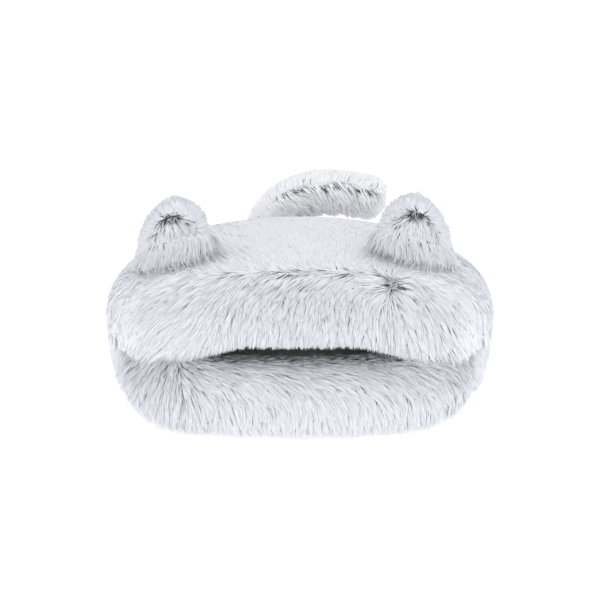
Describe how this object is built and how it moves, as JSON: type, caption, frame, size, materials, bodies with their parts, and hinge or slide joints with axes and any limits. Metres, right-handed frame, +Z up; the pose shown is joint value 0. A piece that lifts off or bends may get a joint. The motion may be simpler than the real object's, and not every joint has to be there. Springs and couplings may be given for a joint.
{
  "type": "pet cushion bed",
  "caption": "Low plush cave bed for a cat or small dog, shaped like a lying cat: padded hood over a wide slit mouth, stuffed lip, upright ears, curled tail, and a loose zipped cushion inside.",
  "frame": {"origin": "on the floor, on the underside of the base, under the middle of the hood", "axes": "+Z up, -Y out of the mouth, +X to the right when looking into the mouth, which is the side the tail curls to"},
  "size_m": [0.55, 0.5457, 0.2947],
  "materials": {
    "long_pile_fur": "white faux fur with dark roots, long pile",
    "plush_lining": "short plush",
    "foam_sheet": "soft upholstery foam",
    "fibre_filling": "loose polyester fibre",
    "nonslip_fabric": "felted fabric with a non-slip face",
    "zip_nylon": "woven tape and moulded teeth",
    "zip_metal": "satin",
    "woven_label": "woven ribbon"
  },
  "bodies": {
    "bed": {"base_bottom_fabric": "nonslip_fabric", "base_wall_cover": "long_pile_fur", "base_wall_fill": "fibre_filling", "front_lip_cover": "long_pile_fur", "front_lip_fill": "fibre_filling", "floor_foam": "foam_sheet", "hood_fur_cover": "long_pile_fur", "hood_foam": "foam_sheet", "hood_lining": "plush_lining", "care_label": "woven_label"},
    "brow": {"brow_fur_cover": "long_pile_fur", "brow_foam": "foam_sheet", "brow_lining": "plush_lining"},
    "ear_left": {"ear_left_cover": "long_pile_fur", "ear_left_fill": "fibre_filling"},
    "ear_right": {"ear_right_cover": "long_pile_fur", "ear_right_fill": "fibre_filling"},
    "tail": {"tail_cover": "long_pile_fur", "tail_fill": "fibre_filling"},
    "cushion": {"cushion_cover": "plush_lining", "cushion_fill": "fibre_filling", "zip_tape_upper": "zip_nylon", "zip_tape_lower": "zip_nylon", "zip_teeth_upper": "zip_nylon", "zip_teeth_lower": "zip_nylon", "zip_stop_closed": "zip_metal", "zip_stop_open": "zip_metal"},
    "zip_slider": {"zip_slider": "zip_metal"},
    "zip_pull": {"zip_pull": "zip_metal"}
  },
  "joints": [
    {"name": "brow_lift", "type": "hinge", "parent": "bed", "child": "brow", "pos_m": [0, -0.1, 0.2045], "axis": [-1, 0, 0], "range_deg": [0, 35]},
    {"name": "ear_left_flop", "type": "hinge", "parent": "bed", "child": "ear_left", "pos_m": [-0.17218, -0.07, 0.21715], "axis": [0.9563, 0, 0.2924], "range_deg": [-20, 20], "stiffness_Nm_per_rad": 0.3},
    {"name": "ear_right_flop", "type": "hinge", "parent": "bed", "child": "ear_right", "pos_m": [0.1566, -0.07, 0.22177], "axis": [0.9563, 0, -0.2924], "range_deg": [-20, 20], "stiffness_Nm_per_rad": 0.3},
    {"name": "tail_sway", "type": "hinge", "parent": "bed", "child": "tail", "pos_m": [-0.056, 0.2729, 0.062], "axis": [0, 0, 1], "range_deg": [-5, 40], "stiffness_Nm_per_rad": 0.4},
    {"name": "cushion_lift", "type": "slide", "parent": "bed", "child": "cushion", "axis": [0, 0, 1], "range_m": [0, 0.03]},
    {"name": "zip_slide", "type": "slide", "parent": "cushion", "child": "zip_slider", "axis": [1, 0, 0], "range_m": [-0.158, 0]},
    {"name": "zip_pull_swing", "type": "hinge", "parent": "zip_slider", "child": "zip_pull", "pos_m": [0.08, 0.1441, 0.04825], "axis": [1, 0, 0], "range_deg": [0, 120]}
  ]
}
